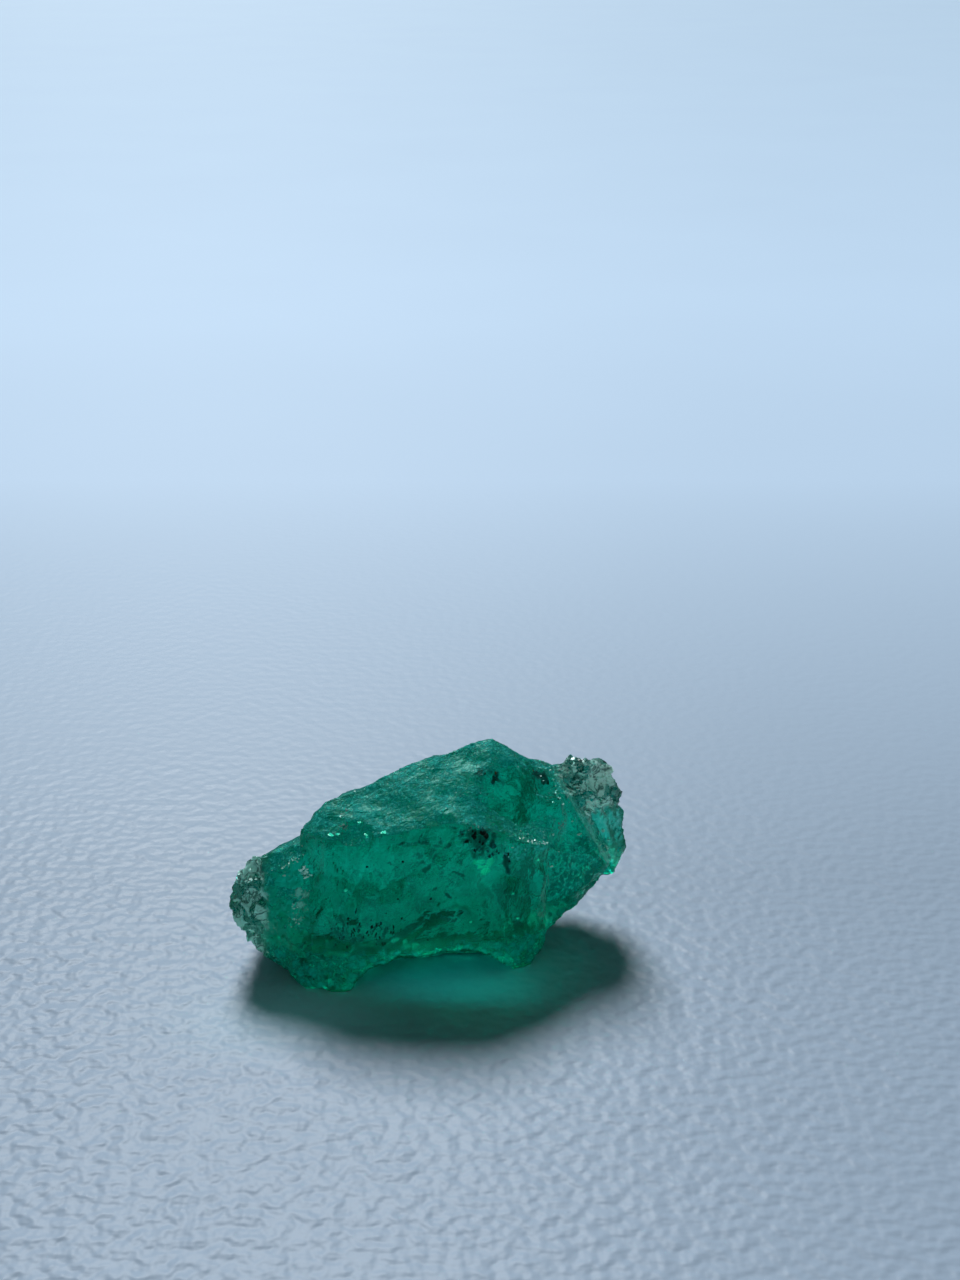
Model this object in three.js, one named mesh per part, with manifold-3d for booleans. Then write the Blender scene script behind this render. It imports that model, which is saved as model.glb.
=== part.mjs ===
// Raw emerald crystal, a broken and etched stump of a six-sided prism lying on its side.
// Millimetres, +Z up. The origin is on the resting plane, below the middle of the stone's box.
// +X runs along the stone towards its broken end with the pale knob, -Y is the glassy front.
import * as THREE from 'three';
import { ConvexGeometry } from 'three/addons/geometries/ConvexGeometry.js';
import { ImprovedNoise } from 'three/addons/math/ImprovedNoise.js';
import { mergeVertices } from 'three/addons/utils/BufferGeometryUtils.js';
import Module from 'manifold-3d';

const wasm = await Module();
wasm.setup();

// Driving dimensions: the finished stone is brought to exactly this box.
const LENGTH = 17.8;
const DEPTH = 9.7;
const HEIGHT = 9.2;

const LONGEST_EDGE = 1.0; // mesh edges above this are halved
const RELIEF_COARSE = { size: 2.3, depth: 0.34 }; // broad waves of the etched faces
const RELIEF_FINE = { size: 0.95, depth: 0.18 }; // small steps and hollows on top of them
const NOISE_SEED_SHIFT = 31.7; // moves the relief pattern off the whole-number grid
const MERGE_DISTANCE = 1e-4;

// Corner points of the lumps that grew together, in millimetres, z = 0 on the resting plane.
// Points a little below zero are sliced off flat at the end.
const TRUNK = [
  // upper face: ridge at the back, front edge, drop to the ledge on the right
  [-5.5, -1.4, 6.5], [-4.5, -0.6, 7.4], [-1.2, 1.0, 8.4], [2.3, 2.3, 9.1], [2.9, 2.2, 9.1],
  [3.4, 1.9, 8.6], [4.6, 2.2, 7.9],
  [-4.1, -2.4, 6.5], [-0.6, -2.3, 7.1], [1.9, -2.1, 7.1], [3.4, -2.0, 6.2], [5.3, -1.1, 5.6],
  // front face down to the resting edge
  [-5.4, -3.2, 2.2], [-4.9, -3.9, 0.3], [-3.5, -4.2, -0.3], [4.4, -2.2, -0.3], [5.2, -1.4, 0.9],
  // back of the prism
  [-4.9, 2.7, 5.2], [-4.4, 3.5, 3.6], [-4.2, 3.2, 1.0], [-3.6, 2.4, -0.3],
  [2.5, 5.2, 7.2], [3.1, 5.4, 4.2], [2.9, 5.2, 1.4], [2.7, 4.3, -0.3], [4.9, 4.4, 6.3],
];
const LEFT_LOBE = [
  [-8.6, -1.9, 3.2], [-8.3, -1.4, 4.0], [-7.6, -1.1, 4.7], [-6.8, -1.2, 5.4], [-5.8, -1.5, 5.8],
  [-8.1, -2.2, 2.0], [-7.3, -2.6, 1.0], [-6.2, -3.1, 0.4], [-5.1, -3.8, -0.2], [-5.9, -3.0, 3.1],
  [-5.2, -2.1, 5.6], [-4.6, -3.2, 3.0], [-4.2, -3.8, 0.2],
  [-8.1, 0.5, 2.6], [-7.6, 1.1, 1.2], [-6.7, 1.7, 3.7], [-6.2, 2.1, 0.4], [-4.6, 2.4, 4.8],
  [-4.2, 0.0, 6.2], [-4.0, 3.1, 3.0], [-4.1, 2.8, 1.0], [-3.8, 1.6, -0.3],
];
const SHOULDER = [
  [4.4, -1.5, 5.6], [5.2, -1.1, 5.5], [4.9, 1.9, 7.7], [5.8, 1.8, 7.2], [6.9, 1.0, 5.4], [8.1, 0.9, 3.6],
  [7.8, 1.1, 2.5], [6.3, 0.3, 1.8], [5.3, -0.7, 0.9], [4.4, -1.7, 0.9], [5.8, -0.6, 4.6], [3.6, 3.6, 0.9],
  [6.2, 3.6, 2.2], [4.4, 4.2, 6.5], [4.4, 2.6, 7.9], [5.2, 2.5, 7.4], [5.9, 2.8, 7.5], [7.2, 3.4, 3.4],
  [4.0, 4.8, 4.2],
];
const END_SLAB = [
  [5.6, 2.6, 7.4], [6.8, 2.2, 6.2], [8.2, 2.3, 6.2], [9.1, 3.0, 5.2], [8.7, 2.3, 3.5],
  [8.4, 1.5, 2.6], [7.4, 1.6, 2.4], [6.0, 4.3, 6.6], [8.0, 4.5, 5.2], [8.2, 3.9, 3.3],
  [6.2, 4.6, 2.4], [4.3, 4.8, 5.4], [4.4, 4.6, 2.6], [5.6, 2.4, 1.9],
];
const KNOB = [
  [5.6, 2.6, 7.3], [6.1, 2.6, 7.7], [6.6, 2.7, 8.0], [7.3, 2.7, 7.9], [7.9, 2.8, 7.6],
  [8.2, 2.8, 6.8], [8.8, 2.9, 6.3], [8.9, 2.8, 5.6], [8.1, 1.9, 5.3], [6.9, 1.9, 5.8],
  [5.4, 4.2, 6.9], [6.8, 4.3, 7.0], [7.9, 4.4, 6.0], [8.3, 3.4, 4.4], [5.6, 4.2, 5.0],
];
// Wedges broken out of the joined lumps.
const FRONT_ARCH = [
  [-4.2, -5.2, -0.8], [4.9, -3.6, -0.8], [-2.6, -0.7, -0.8], [3.6, -0.3, -0.8], [-3.0, -5.0, 1.0],
  [-0.9, -4.8, 1.9], [1.6, -4.4, 1.6], [3.9, -3.7, 0.8], [-1.2, -1.9, 0.8], [1.9, -1.7, 0.8],
];
const EDGE_CHIP = [
  [-3.9, -3.2, 6.6], [-3.4, -2.9, 5.7], [-2.5, -3.0, 5.7], [-1.7, -3.2, 6.9], [-3.3, -1.7, 7.0],
  [-2.3, -1.9, 7.1], [-3.0, -2.9, 7.4],
];
const BACK_CHIP = [
  [-3.2, 4.9, 6.6], [-0.2, 5.4, 7.2], [-2.7, 2.3, 7.6], [0.2, 3.2, 8.6], [-1.4, 3.3, 6.1],
];
// Shell-shaped fractures on the back: middle and radii of the ball that leaves each hollow.
const SHELL_FRACTURES = [
  { middle: [0.4, 7.1, 3.4], radii: [3.0, 2.4, 2.6] },
  { middle: [6.9, 6.3, 4.3], radii: [2.2, 2.2, 2.4] },
  { middle: [-7.2, 3.6, 3.6], radii: [1.9, 2.0, 2.0] },
];
const SHELL_FINENESS = 2;
const CUT_BLOCK = 60; // side of the block that slices the resting face

function closedMesh(geometry) {
  geometry.deleteAttribute('normal');
  geometry.deleteAttribute('uv');
  return mergeVertices(geometry, MERGE_DISTANCE);
}

function toSolid(geometry) {
  const merged = closedMesh(geometry);
  return new wasm.Manifold(new wasm.Mesh({
    numProp: 3,
    vertProperties: new Float32Array(merged.attributes.position.array),
    triVerts: new Uint32Array(merged.index.array),
  }));
}

function lump(corners) {
  return toSolid(new ConvexGeometry(corners.map((corner) => new THREE.Vector3(...corner))));
}

function ball({ middle, radii }) {
  const geometry = new THREE.IcosahedronGeometry(1, SHELL_FINENESS);
  geometry.scale(...radii);
  geometry.translate(...middle);
  return toSolid(geometry);
}

// Halves every edge longer than the limit, so that neighbours keep sharing their edges.
function refine(points, triangles, limit) {
  let faces = triangles;
  let split = true;
  while (split) {
    split = false;
    const middles = new Map();
    const middleOf = (a, b) => {
      if (points[a].distanceTo(points[b]) <= limit) return -1;
      const key = a < b ? `${a}_${b}` : `${b}_${a}`;
      if (!middles.has(key)) {
        middles.set(key, points.length);
        points.push(points[a].clone().add(points[b]).multiplyScalar(0.5));
      }
      return middles.get(key);
    };
    const finer = [];
    for (const [a, b, c] of faces) {
      const corners = [a, b, c];
      const halves = [middleOf(a, b), middleOf(b, c), middleOf(c, a)];
      const count = halves.filter((half) => half >= 0).length;
      if (count === 0) {
        finer.push(corners);
        continue;
      }
      split = true;
      if (count === 3) {
        finer.push([a, halves[0], halves[2]], [halves[0], b, halves[1]]);
        finer.push([halves[2], halves[1], c], halves);
        continue;
      }
      // turn the triangle so that its first edge is split and, of two split edges, the third is whole
      const turn = [0, 1, 2].find((k) => halves[k] >= 0 && (count === 1 || halves[(k + 1) % 3] >= 0));
      const [p, q, r] = [0, 1, 2].map((k) => corners[(turn + k) % 3]);
      const first = halves[turn];
      if (count === 1) {
        finer.push([p, first, r], [first, q, r]);
      } else {
        const second = halves[(turn + 1) % 3];
        finer.push([first, q, second], [p, first, second], [p, second, r]);
      }
    }
    faces = finer;
  }
  return faces;
}

// Shifts each point by two sizes of smooth noise, the same for close neighbours, so that faces stay whole.
function addRelief(geometry) {
  const noise = new ImprovedNoise();
  const place = geometry.attributes.position;
  for (let i = 0; i < place.count; i += 1) {
    const point = new THREE.Vector3().fromBufferAttribute(place, i);
    const shift = new THREE.Vector3();
    for (const { size, depth } of [RELIEF_COARSE, RELIEF_FINE]) {
      const at = point.clone().divideScalar(size).addScalar(NOISE_SEED_SHIFT);
      shift.x += depth * noise.noise(at.x, at.y, at.z);
      shift.y += depth * noise.noise(at.y + NOISE_SEED_SHIFT, at.z, at.x);
      shift.z += depth * noise.noise(at.z, at.x + NOISE_SEED_SHIFT, at.y);
    }
    point.add(shift);
    place.setXYZ(i, point.x, point.y, point.z);
  }
}

// Slices the stone at z = 0, which leaves the flat face that it rests on.
function cutRestingFace(solid) {
  const block = new THREE.BoxGeometry(CUT_BLOCK, CUT_BLOCK, CUT_BLOCK);
  block.translate(0, 0, CUT_BLOCK / 2);
  return solid.intersect(toSolid(block));
}

function toGeometry(solid) {
  const mesh = solid.getMesh();
  const geometry = new THREE.BufferGeometry();
  geometry.setAttribute('position', new THREE.BufferAttribute(new Float32Array(mesh.vertProperties), 3));
  geometry.setIndex(new THREE.BufferAttribute(new Uint32Array(mesh.triVerts), 1));
  return geometry;
}

// Centres the stone over the origin, stands it on z = 0 and brings it to the driving dimensions.
function fitToSize(geometry) {
  geometry.computeBoundingBox();
  const box = geometry.boundingBox;
  const size = box.getSize(new THREE.Vector3());
  const middle = box.getCenter(new THREE.Vector3());
  geometry.translate(-middle.x, -middle.y, -box.min.z);
  geometry.scale(LENGTH / size.x, DEPTH / size.y, HEIGHT / size.z);
}

function buildCrystal() {
  const lumps = [LEFT_LOBE, SHOULDER, END_SLAB, KNOB];
  const chips = [FRONT_ARCH, EDGE_CHIP, BACK_CHIP];
  const grown = lumps.reduce((sum, corners) => sum.add(lump(corners)), lump(TRUNK));
  const chipped = chips.reduce((rest, corners) => rest.subtract(lump(corners)), grown);
  const broken = SHELL_FRACTURES.reduce((rest, shell) => rest.subtract(ball(shell)), chipped);

  const rough = closedMesh(toGeometry(broken));
  const points = [];
  for (let i = 0; i < rough.attributes.position.count; i += 1) {
    points.push(new THREE.Vector3().fromBufferAttribute(rough.attributes.position, i));
  }
  const triangles = [];
  for (let i = 0; i < rough.index.count; i += 3) {
    triangles.push([rough.index.getX(i), rough.index.getX(i + 1), rough.index.getX(i + 2)]);
  }
  const faces = refine(points, triangles, LONGEST_EDGE);
  const geometry = new THREE.BufferGeometry().setFromPoints(points);
  geometry.setIndex(faces.flat());
  addRelief(geometry);
  const finished = toGeometry(cutRestingFace(toSolid(geometry)));
  fitToSize(finished);
  finished.computeVertexNormals();
  return finished;
}

const emeraldGreen = new THREE.MeshStandardMaterial({ color: 0x02594a, roughness: 0.25, metalness: 0 });

const stone = new THREE.Mesh(buildCrystal(), emeraldGreen);
stone.name = 'emerald_crystal';

const group = new THREE.Group();
group.add(stone);

export default group;
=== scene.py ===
import math
import random

import bpy
from bpy.props import FloatProperty, FloatVectorProperty, PointerProperty
from mathutils import Matrix, Vector, noise
from mathutils.bvhtree import BVHTree


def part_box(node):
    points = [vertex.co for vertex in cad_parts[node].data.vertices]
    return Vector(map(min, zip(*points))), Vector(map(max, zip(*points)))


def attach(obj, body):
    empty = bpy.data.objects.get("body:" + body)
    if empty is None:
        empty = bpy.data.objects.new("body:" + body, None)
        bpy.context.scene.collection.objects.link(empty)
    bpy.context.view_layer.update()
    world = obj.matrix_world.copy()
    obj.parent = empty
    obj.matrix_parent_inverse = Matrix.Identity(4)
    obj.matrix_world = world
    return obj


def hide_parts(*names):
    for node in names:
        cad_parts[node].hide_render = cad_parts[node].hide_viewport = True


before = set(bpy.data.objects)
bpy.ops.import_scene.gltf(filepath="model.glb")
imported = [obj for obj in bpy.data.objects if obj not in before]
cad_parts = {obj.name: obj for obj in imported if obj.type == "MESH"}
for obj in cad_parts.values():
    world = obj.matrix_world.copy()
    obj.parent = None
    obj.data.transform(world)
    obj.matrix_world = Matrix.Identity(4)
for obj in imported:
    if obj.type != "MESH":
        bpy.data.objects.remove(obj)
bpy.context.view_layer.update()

bl_info = {
    "name": "Raw emerald crystal",
    "version": (1, 0, 0),
    "blender": (4, 5, 0),
    "location": "3D View > Sidebar > Emerald",
    "description": "Builds a rough emerald crystal with its inclusions on a pale studio floor",
    "category": "Mesh",
}

# Pieces are modelled with one unit to the millimetre and brought to metres at the end.
MM = 0.001
NODE = "emerald_crystal"
BODY = "root"
LOW, HIGH = (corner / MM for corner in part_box(NODE))


# ---- settings

def tint_property(name, description, default):
    """A colour that a user may change."""
    return FloatVectorProperty(name=name, description=description, default=default, subtype="COLOR",
                               size=3, min=0, max=1)


class CrystalSettings(bpy.types.PropertyGroup):
    """Sizes and colours of the stone"""
    mesh_size: FloatProperty(name="Mesh size", description="Side of one face of the crystal's skin, in mm",
                             default=0.081, min=0.05, max=0.5)
    hackle_depth: FloatProperty(name="Hackle", description="Tilt of the larger broken facets",
                                default=0.13, min=0, max=1)
    frost_depth: FloatProperty(name="Frost", description="Tilt of the small etched facets",
                               default=0.22, min=0, max=1)
    grit_depth: FloatProperty(name="Grit", description="Depth of the finest roughness, in mm",
                              default=0.022, min=0, max=0.2)
    absorption: FloatProperty(name="Absorption", default=396, min=0, max=5000,
                              description="Strength of the green of the clear beryl, per metre")
    absorption_colour: tint_property("Beryl green", "Light that clear beryl passes best", (0.0, 0.83, 0.70))
    clear_colour: tint_property("Clear skin", "Tint of the clear parts of the skin", (0.01, 0.92, 0.71))
    pale_colour: tint_property("Pale skin", "Tint of the almost colourless ends", (0.93, 0.97, 0.94))
    dark_colour: tint_property("Dark skin", "Tint of the dark patches of the skin", (0.005, 0.60, 0.43))


class StageSettings(bpy.types.PropertyGroup):
    """Floor and lights"""
    floor_colour: tint_property("Floor", "Colour of the pale floor", (0.343, 0.417, 0.530))
    floor_radius: FloatProperty(name="Floor radius", description="Radius of the round floor",
                                default=3.0, min=0.1, unit="LENGTH")
    key_strength: FloatProperty(name="Key light", description="Strength of the main light behind the stone",
                                default=3.7, min=0)
    fill_power: FloatProperty(name="Fill light", default=2.8, min=0,
                              description="Power of the broad dim light in front, in watts")
    glow_power: FloatProperty(name="Gathered light", default=0.0000215, min=0, precision=6,
                              description="Power of the green light below the arch, in watts")
    sky_strength: FloatProperty(name="Sky", description="Strength of the even light all around",
                                default=0.09, min=0)


# ---- helpers

def ramp(value, low, high):
    """0 below low, 1 above high, and a smooth rise between them."""
    share = min(max((value - low) / (high - low), 0.0), 1.0)
    return share * share * (3 - 2 * share)


def band(value, start, full, fade, gone):
    """1 between full and fade, 0 before start and after gone, and smooth between them."""
    return ramp(value, start, full) * (1 - ramp(value, fade, gone))


def new_object(name, data):
    """A new object of the scene that holds a mesh, a lamp or a camera."""
    piece = bpy.data.objects.new(name, data)
    bpy.context.scene.collection.objects.link(piece)
    return piece


def apply_modifier(piece, kind, **settings):
    """Adds a modifier to the piece, sets it and applies it."""
    bpy.ops.object.select_all(action="DESELECT")
    bpy.context.view_layer.objects.active = piece
    piece.select_set(True)
    modifier = piece.modifiers.new(kind.title(), kind)
    for name, value in settings.items():
        setattr(modifier, name, value)
    bpy.ops.object.modifier_apply(modifier=modifier.name)


def deliver(piece, material):
    """Brings a piece from millimetres to metres, gives it its material and lets it ride with the stone."""
    piece.data.transform(Matrix.Scale(MM, 4))
    piece.data.materials.clear()
    piece.data.materials.append(material)
    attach(piece, BODY)


# ---- shader helpers

def new_material(name):
    """A material that holds one plain shader, with its tree, that shader and its output."""
    material = bpy.data.materials.new(name)
    material.use_nodes = True
    tree = material.node_tree
    tree.nodes.clear()
    shader = tree.nodes.new("ShaderNodeBsdfPrincipled")
    output = tree.nodes.new("ShaderNodeOutputMaterial")
    tree.links.new(shader.outputs["BSDF"], output.inputs["Surface"])
    return material, tree, shader, output


def feed(tree, node, inputs):
    """Fills a node's inputs: an output of another node is linked, and a plain value is set on the socket."""
    for key, value in inputs.items():
        if isinstance(value, bpy.types.NodeSocket):
            tree.links.new(value, node.inputs[key])
        else:
            node.inputs[key].default_value = value


def add_node(tree, kind, inputs=None, **settings):
    """Adds a node with its settings and its inputs."""
    node = tree.nodes.new(kind)
    for name, value in settings.items():
        setattr(node, name, value)
    feed(tree, node, inputs or {})
    return node


def object_place(tree):
    """The place on the piece, in metres."""
    return add_node(tree, "ShaderNodeTexCoord").outputs["Object"]


def layer_value(tree, name):
    """A value that the mesh holds for each of its points."""
    return add_node(tree, "ShaderNodeAttribute", attribute_name=name).outputs["Fac"]


def wander(tree, place, scale, detail, **more):
    """A cloudy pattern around 0.5; more can hold its roughness and its distortion."""
    inputs = {"Vector": place, "Scale": scale, "Detail": detail}
    inputs.update({name.title(): value for name, value in more.items()})
    return add_node(tree, "ShaderNodeTexNoise", inputs).outputs["Fac"]


def spread(tree, value, low, high, first=0.0, last=1.0, **settings):
    """Brings a value from the range low to high to the range first to last, and keeps it inside."""
    inputs = {"Value": value, "From Min": low, "From Max": high, "To Min": first, "To Max": last}
    return add_node(tree, "ShaderNodeMapRange", inputs, **settings).outputs[0]


def maths(tree, operation, *values):
    """One sum on values that change over the surface."""
    return add_node(tree, "ShaderNodeMath", dict(enumerate(values)), operation=operation).outputs[0]


def mix_colour(tree, share, first, second):
    """Goes from the first colour to the second as the share goes from 0 to 1."""
    return add_node(tree, "ShaderNodeMix", {0: share, 6: first, 7: second}, data_type="RGBA").outputs[2]


def bumped(tree, height, strength, distance):
    """The normal of a surface with a fine relief, its depth in metres."""
    inputs = {"Height": height, "Strength": strength, "Distance": distance}
    return add_node(tree, "ShaderNodeBump", inputs).outputs["Normal"]


def colour(rgb):
    """A colour with full alpha."""
    return (*rgb, 1.0)


def two_tone_group():
    """The shared effect that wanders between two colours, built once."""
    group = bpy.data.node_groups.get("two_tone")
    if group:
        return group
    group = bpy.data.node_groups.new("two_tone", "ShaderNodeTree")
    for name, kind in (("Place", "Vector"), ("Scale", "Float"), ("Detail", "Float"), ("Low", "Float"),
                       ("High", "Float"), ("First", "Color"), ("Second", "Color")):
        group.interface.new_socket(name, in_out="INPUT", socket_type="NodeSocket" + kind)
    group.interface.new_socket("Color", in_out="OUTPUT", socket_type="NodeSocketColor")
    given = group.nodes.new("NodeGroupInput").outputs
    result = group.nodes.new("NodeGroupOutput")
    clumps = wander(group, given["Place"], given["Scale"], given["Detail"], roughness=0.6)
    share = spread(group, clumps, given["Low"], given["High"])
    feed(group, result, {"Color": mix_colour(group, share, given["First"], given["Second"])})
    return group


def two_tone(tree, place, scale, detail, low, high, first, second):
    """Places the shared two-colour effect in a material with the material's own values."""
    values = {"Place": place, "Scale": scale, "Detail": detail, "Low": low, "High": high,
              "First": colour(first), "Second": colour(second)}
    return add_node(tree, "ShaderNodeGroup", values, node_tree=two_tone_group()).outputs["Color"]


# ---- parts of the skin

# Where a part of the skin starts, is full, fades and is gone, in mm along one axis.
FRONT_Z = (0.9, 2.0, 6.0, 6.7)
WINDOW_X = (2.2, 3.0, 5.6, 6.6)
WINDOW_Z = (6.2, 6.6, 7.9, 8.5)
LEDGE_X = (2.6, 3.6, 6.4, 7.2)
LEDGE_Z = (4.9, 5.5, 6.2, 6.7)
ARCH_SHADE_Z = (0.1, 0.3, 1.3, 2.0)
# Height and place along the stone of the long crease below the knob, in mm.
CREASE = ((7.4, 5.5), (6.6, 6.2), (5.1, 7.05), (3.1, 8.2))


def crease_side(point):
    """How far right of the long crease below the knob a point lies, in mm."""
    for (high, x_high), (low, x_low) in zip(CREASE, CREASE[1:]):
        if point.z >= low:
            return point.x - x_high - (x_low - x_high) * max((high - point.z) / (high - low), 0.0)
    return point.x - CREASE[-1][1]


def front_share(point, normal):
    """The clear, smooth face turned to the viewer."""
    left_rim = point.x + 0.7 * noise.noise(point / 0.9)
    ahead = ramp(-normal.y, 0.4, 0.7) * ramp(left_rim, -5.8, -4.4)
    return ahead * (1 - ramp(crease_side(point), -0.3, 0.1)) * band(point.z, *FRONT_Z)


def window_share(point, normal):
    """The smooth green face right of the apex, above the ledge."""
    return ramp(-normal.y, 0.25, 0.5) * band(point.x, *WINDOW_X) * band(point.z, *WINDOW_Z)


def left_share(point):
    """The etched left end."""
    return 1 - ramp(point.x + 0.3 * noise.noise(point / 0.7), -7.5, -6.9)


def knob_share(point):
    """The pale knob on the broken right end."""
    return ramp(crease_side(point), 0.0, 0.3) * ramp(point.z, 5.2, 5.8)


def ledge_share(point):
    """The gritty step between the smooth green face and the front."""
    return band(point.x, *LEDGE_X) * (1 - ramp(point.y, -0.9, 0.1)) * band(point.z, *LEDGE_Z)


def top_share(point, normal):
    """The frosted upper side, without the window."""
    upper = ramp(normal.z, 0.3, 0.65) * (1 - knob_share(point)) * (1 - left_share(point))
    return upper * (1 - window_share(point, normal))


def pale_share(point):
    """The parts where the beryl is almost colourless: the knob, the left end and the low right tip."""
    tip = ramp(crease_side(point), 0.0, 0.4) * ramp(point.z, 2.6, 3.4)
    return max(knob_share(point), 1 - ramp(point.x, -8.0, -6.9), 0.3 * tip)


def low_share(point):
    """The dim rough foot of the stone."""
    return (1 - ramp(point.z, 1.2, 2.3)) * (1 - left_share(point))


# ---- the crystal

# Size in mm of one wave, facet or grain in each layer of the relief.
SWELL_SIZE = 1.5
HACKLE_SIZE = 0.95
CHIP_SIZE = 0.72
FROST_SIZE = 0.34
COBBLE_SIZE = 0.30
GRIT_SIZE = 0.06
STREAK_SIZE = (0.22, 0.3, 1.1)
# Height of the layers that no setting holds: swell and streaks in mm, and chips and cobbles as a share
# of their size.
SWELL_HEIGHT = 0.08
CHIP_TILT = 0.50
COBBLE_HEIGHT = 0.06
STREAK_HEIGHT = 0.06
# The relief dies out between these heights above the floor in mm, so that the resting face stays flat.
FLAT_FOOT = (0.03, 0.35)
# Points of the plain stone that are closer than this in mm are made one.
WELD_GAP = 0.0005


def hackle(point, size, salt):
    """Height of a broken surface: every cell of the pattern is a small plane with a tilt of its own."""
    place = point / size
    distances, centres = noise.voronoi(place)
    tilt = noise.cell_vector(centres[0] * 37.7 + Vector((salt, salt, salt))) - Vector((0.5, 0.5, 0.5))
    return tilt.dot(place - centres[0]) * size * 2 * ramp(distances[1] - distances[0], 0.0, 0.12)


def cobbles(point, size):
    """Height of a cobbled surface: round grains with deep seams between them."""
    distances, _ = noise.voronoi(point / size)
    return (min(distances[1] - distances[0], 0.5) - 0.25) * size


def stretched(point, lengths):
    """The point in a pattern that is longer along some axes than along others."""
    return Vector([place / length for place, length in zip(point, lengths)])


def relief(point, normal, settings):
    """Height of the skin above the plain stone, in mm, and how frosted it is there."""
    knob, left, ledge = knob_share(point), left_share(point), ledge_share(point)
    top = top_share(point, normal)
    smooth = max(front_share(point, normal), window_share(point, normal))
    rough = 1 - 0.92 * smooth
    swell = noise.fractal(point / SWELL_SIZE, 0.9, 2.1, 4)
    height = SWELL_HEIGHT * swell * (0.5 + 0.5 * rough) * (1 - 0.55 * top)
    height += settings.hackle_depth * hackle(point, HACKLE_SIZE, 3.1) * rough * (1 - 0.65 * top)
    height += settings.frost_depth * hackle(point, FROST_SIZE, 8.6) * rough * (1 - 0.72 * top)
    height += CHIP_TILT * max(knob, 0.6 * left) * hackle(point, CHIP_SIZE, 5.5)
    height += top * COBBLE_HEIGHT * cobbles(point, COBBLE_SIZE)
    height += STREAK_HEIGHT * left * noise.noise(stretched(point, STREAK_SIZE))
    grit = (noise.cell(point / GRIT_SIZE) - 0.5) * settings.grit_depth
    height += grit * max(0.35, 0.9 * knob, ledge, 0.8 * left) * rough
    frost = max(0.45, 0.85 * top, knob, ledge, 0.8 * left, 0.9 * low_share(point)) * (1 - 0.95 * smooth)
    return height * ramp(point.z, *FLAT_FOOT), frost


def refine_skin(piece, settings):
    """Gives the skin its relief and writes its frost and its paleness to the mesh for the material."""
    mesh = piece.data
    frost_layer = mesh.attributes.new("frost", "FLOAT", "POINT")
    pale_layer = mesh.attributes.new("pale", "FLOAT", "POINT")
    normals = [Vector(normal.vector) for normal in mesh.vertex_normals]
    for vertex, normal in zip(mesh.vertices, normals):
        pale_layer.data[vertex.index].value = pale_share(vertex.co)
        height, frost = relief(vertex.co, normal, settings)
        vertex.co += normal * height
        vertex.co.z = max(vertex.co.z, 0.0)
        frost_layer.data[vertex.index].value = frost


def beryl_material(settings):
    """Clear green beryl, glossy on the smooth faces and frosted elsewhere."""
    material, tree, shader, output = new_material("green_beryl")
    place = object_place(tree)
    green = two_tone(tree, place, 900.0, 5.0, 0.38, 0.62, settings.dark_colour, settings.clear_colour)
    tint = mix_colour(tree, layer_value(tree, "pale"), green, colour(settings.pale_colour))
    gloss = spread(tree, layer_value(tree, "frost"), 0.0, 1.0, 0.10, 0.62)
    normal = bumped(tree, wander(tree, place, 9000.0, 2.0), 0.25, 0.00004)
    feed(tree, shader, {"Base Color": tint, "Roughness": gloss, "Normal": normal, "IOR": 1.58,
                        "Specular Tint": (0.04, 1.0, 0.85, 1.0), "Transmission Weight": 0.96})
    depth = add_node(tree, "ShaderNodeVolumeAbsorption", {"Density": settings.absorption,
                                                          "Color": colour(settings.absorption_colour)})
    feed(tree, output, {"Volume": depth.outputs["Volume"]})
    return material


class EMERALD_OT_crystal(bpy.types.Operator):
    """Makes the see-through crystal with its broken and etched skin"""
    bl_idname = "emerald.crystal"
    bl_label = "Crystal"

    def execute(self, context):
        settings = context.scene.emerald_crystal
        bpy.ops.object.select_all(action="DESELECT")
        piece = new_object("emerald_body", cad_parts[NODE].data.copy())
        piece.data.transform(Matrix.Scale(1 / MM, 4))
        context.view_layer.objects.active = piece
        piece.select_set(True)
        bpy.ops.object.mode_set(mode="EDIT")
        bpy.ops.mesh.select_all(action="SELECT")
        bpy.ops.mesh.remove_doubles(threshold=WELD_GAP)
        bpy.ops.object.mode_set(mode="OBJECT")
        apply_modifier(piece, "REMESH", mode="VOXEL", voxel_size=settings.mesh_size)
        refine_skin(piece, settings)
        bpy.ops.object.shade_flat()
        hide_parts(NODE)
        deliver(piece, beryl_material(settings))
        return {"FINISHED"}


# ---- the crust

# Height of the crust above the skin and depth of the dark film under it, in mm.
CRUST_LIFT = 0.006
FILM_DEPTH = 0.012
# The crust starts at this height and the film ends at this one, in mm above the floor.
CRUST_FOOT = 0.1
FILM_TOP = 0.08
# Thinner cover and fainter smoke than this are left out.
LEAST_COVER = 0.13
LEAST_SMOKE = 0.02

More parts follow.
